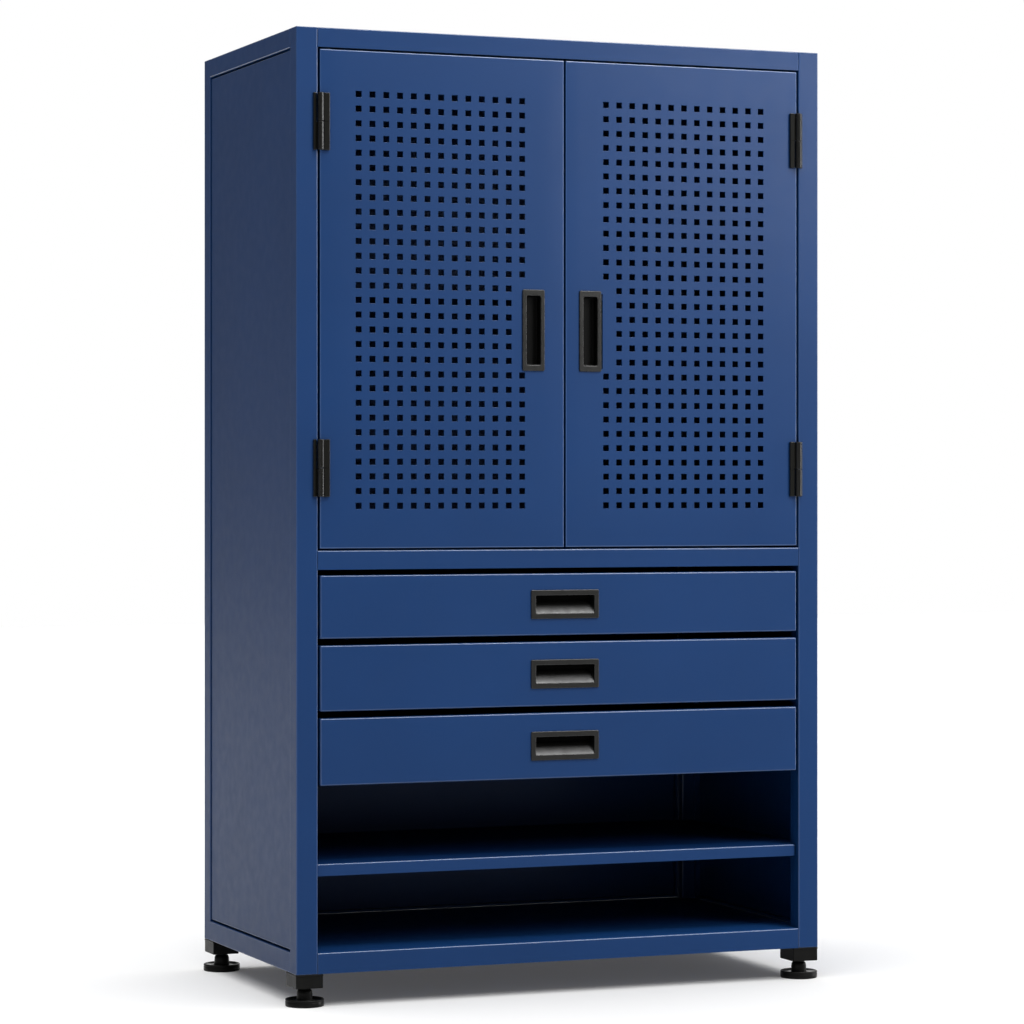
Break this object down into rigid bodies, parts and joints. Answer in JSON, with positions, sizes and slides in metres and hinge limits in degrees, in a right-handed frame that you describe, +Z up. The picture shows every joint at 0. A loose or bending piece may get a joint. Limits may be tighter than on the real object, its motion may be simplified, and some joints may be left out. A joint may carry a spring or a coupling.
{
  "type": "locker cabinet",
  "caption": "Tall steel locker cabinet with two perforated doors on lift-off hinges, drawers with recessed pulls, an open shelf bay and levelling feet.",
  "frame": {"origin": "on the floor under the middle of the cabinet's outer box, feet, hinges and pulls included", "axes": "+Z up, the front faces -Y, +X to the right of someone who faces the front"},
  "size_m": [1.017, 0.555, 1.685],
  "materials": {
    "blue_powder_coat": "fine satin powder coat",
    "black_plastic": "fine moulded grain",
    "catch_plastic": "moulded",
    "black_steel": "satin black coat",
    "zinc_plate": "bright zinc plate"
  },
  "bodies": {
    "cabinet": {"back_panel": "blue_powder_coat", "bay_shelf": "blue_powder_coat", "bottom_left_rail": "blue_powder_coat", "bottom_right_rail": "blue_powder_coat", "divider_pan": "blue_powder_coat", "door_catch": "catch_plastic", "drawer_1_left_outer_slide": "zinc_plate", "drawer_1_right_outer_slide": "zinc_plate", "drawer_2_left_outer_slide": "zinc_plate", "drawer_2_right_outer_slide": "zinc_plate", "drawer_3_left_outer_slide": "zinc_plate", "drawer_3_right_outer_slide": "zinc_plate", "floor_pan": "blue_powder_coat", "front_left_foot_block": "black_plastic", "front_left_post": "blue_powder_coat", "front_right_foot_block": "black_plastic", "front_right_post": "blue_powder_coat", "left_side_panel": "blue_powder_coat", "locker_shelf": "blue_powder_coat", "lower_left_hinge_post_half": "black_steel", "lower_right_hinge_post_half": "black_steel", "rear_left_foot_block": "black_plastic", "rear_left_post": "blue_powder_coat", "rear_right_foot_block": "black_plastic", "rear_right_post": "blue_powder_coat", "right_side_panel": "blue_powder_coat", "top_left_rail": "blue_powder_coat", "top_pan": "blue_powder_coat", "top_right_rail": "blue_powder_coat", "upper_left_hinge_post_half": "black_steel", "upper_right_hinge_post_half": "black_steel"},
    "drawer_1": {"drawer_1_front": "blue_powder_coat", "drawer_1_left_inner_slide": "zinc_plate", "drawer_1_pull": "black_plastic", "drawer_1_right_inner_slide": "zinc_plate", "drawer_1_tray": "blue_powder_coat"},
    "drawer_2": {"drawer_2_front": "blue_powder_coat", "drawer_2_left_inner_slide": "zinc_plate", "drawer_2_pull": "black_plastic", "drawer_2_right_inner_slide": "zinc_plate", "drawer_2_tray": "blue_powder_coat"},
    "drawer_3": {"drawer_3_front": "blue_powder_coat", "drawer_3_left_inner_slide": "zinc_plate", "drawer_3_pull": "black_plastic", "drawer_3_right_inner_slide": "zinc_plate", "drawer_3_tray": "blue_powder_coat"},
    "front_left_foot": {"front_left_levelling_foot": "black_plastic"},
    "front_right_foot": {"front_right_levelling_foot": "black_plastic"},
    "left_door": {"left_door_pull": "black_plastic", "left_door_skin": "blue_powder_coat", "left_door_stiffener": "blue_powder_coat", "lower_left_hinge_door_half": "black_steel", "upper_left_hinge_door_half": "black_steel"},
    "rear_left_foot": {"rear_left_levelling_foot": "black_plastic"},
    "rear_right_foot": {"rear_right_levelling_foot": "black_plastic"},
    "right_door": {"lower_right_hinge_door_half": "black_steel", "right_door_pull": "black_plastic", "right_door_skin": "blue_powder_coat", "right_door_stiffener": "blue_powder_coat", "upper_right_hinge_door_half": "black_steel"}
  },
  "joints": [
    {"name": "left_door_swing", "type": "hinge", "parent": "cabinet", "child": "left_door", "pos_m": [-0.45735, -0.27178, 1.2175], "axis": [0, 0, -1], "range_deg": [0, 165]},
    {"name": "right_door_swing", "type": "hinge", "parent": "cabinet", "child": "right_door", "pos_m": [0.45735, -0.27178, 1.2175], "axis": [0, 0, 1], "range_deg": [0, 165]},
    {"name": "drawer_1_run", "type": "slide", "parent": "cabinet", "child": "drawer_1", "axis": [0, -1, 0], "range_m": [0, 0.36]},
    {"name": "drawer_2_run", "type": "slide", "parent": "cabinet", "child": "drawer_2", "axis": [0, -1, 0], "range_m": [0, 0.36]},
    {"name": "drawer_3_run", "type": "slide", "parent": "cabinet", "child": "drawer_3", "axis": [0, -1, 0], "range_m": [0, 0.36]},
    {"name": "front_left_foot_screw", "type": "slide", "parent": "cabinet", "child": "front_left_foot", "axis": [0, 0, -1], "range_m": [0, 0.012]},
    {"name": "rear_left_foot_screw", "type": "slide", "parent": "cabinet", "child": "rear_left_foot", "axis": [0, 0, -1], "range_m": [0, 0.012]},
    {"name": "front_right_foot_screw", "type": "slide", "parent": "cabinet", "child": "front_right_foot", "axis": [0, 0, -1], "range_m": [0, 0.012]},
    {"name": "rear_right_foot_screw", "type": "slide", "parent": "cabinet", "child": "rear_right_foot", "axis": [0, 0, -1], "range_m": [0, 0.012]}
  ]
}
